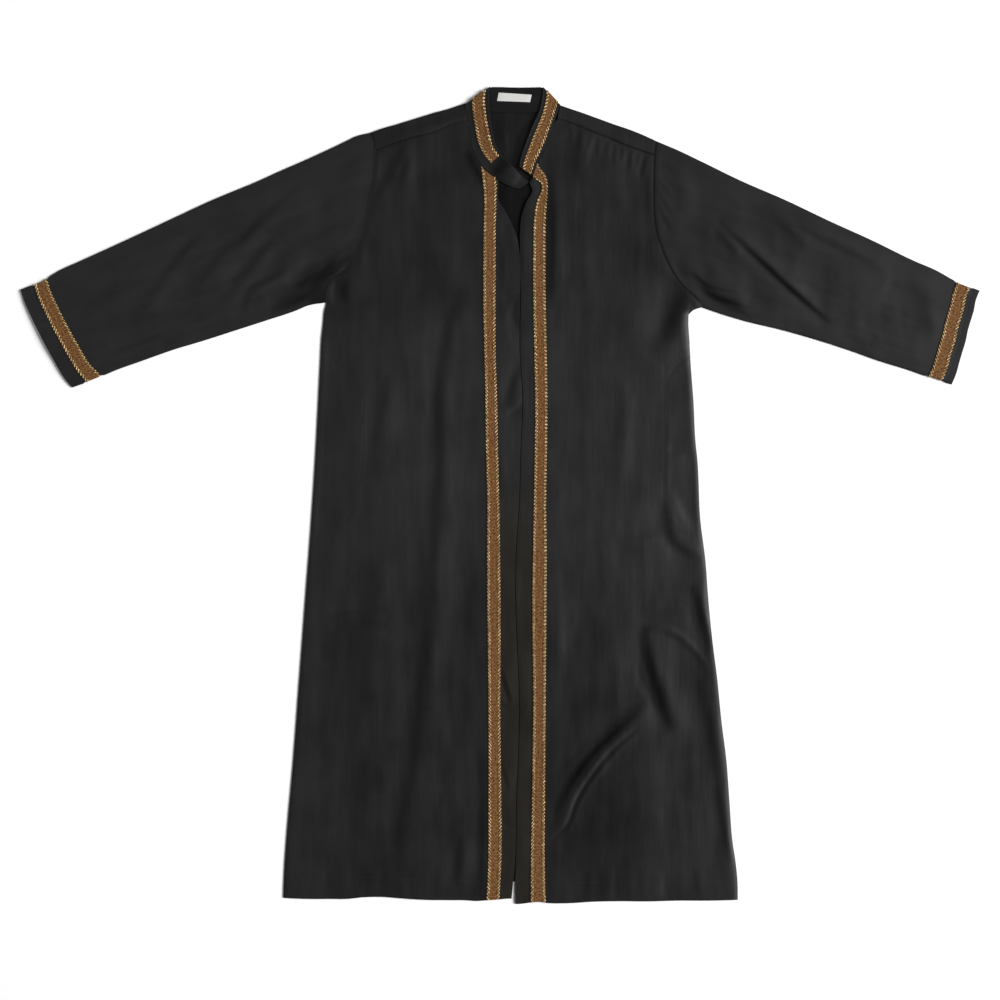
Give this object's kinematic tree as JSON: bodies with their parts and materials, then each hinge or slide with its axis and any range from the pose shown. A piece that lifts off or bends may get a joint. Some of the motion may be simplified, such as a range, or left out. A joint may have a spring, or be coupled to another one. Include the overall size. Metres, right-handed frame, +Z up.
{
  "type": "thobe",
  "caption": "Floor-length open-front robe in black satiny cloth with a band collar, long sleeves and woven ribbon trim on fronts, collar and cuffs, laid flat face up.",
  "frame": {"origin": "on the surface it lies on, under the middle of its outline", "axes": "+X to the wearer's left along the sleeve span, +Y towards the neck, +Z up out of the face-up fronts"},
  "size_m": [1.5338, 1.3016, 0.0103],
  "materials": {
    "satin_cloth": "soft satin sheen",
    "woven_ribbon": "woven, with twisted gold edges",
    "label_cloth": "smooth woven"
  },
  "bodies": {
    "root": {"back_panel": "satin_cloth", "front_right": "satin_cloth", "front_left": "satin_cloth", "sleeve_right": "satin_cloth", "sleeve_left": "satin_cloth", "collar": "satin_cloth", "trim_front_right": "woven_ribbon", "trim_front_left": "woven_ribbon", "trim_cuff_right": "woven_ribbon", "trim_cuff_left": "woven_ribbon", "trim_collar": "woven_ribbon", "neck_label": "label_cloth"}
  },
  "joints": []
}
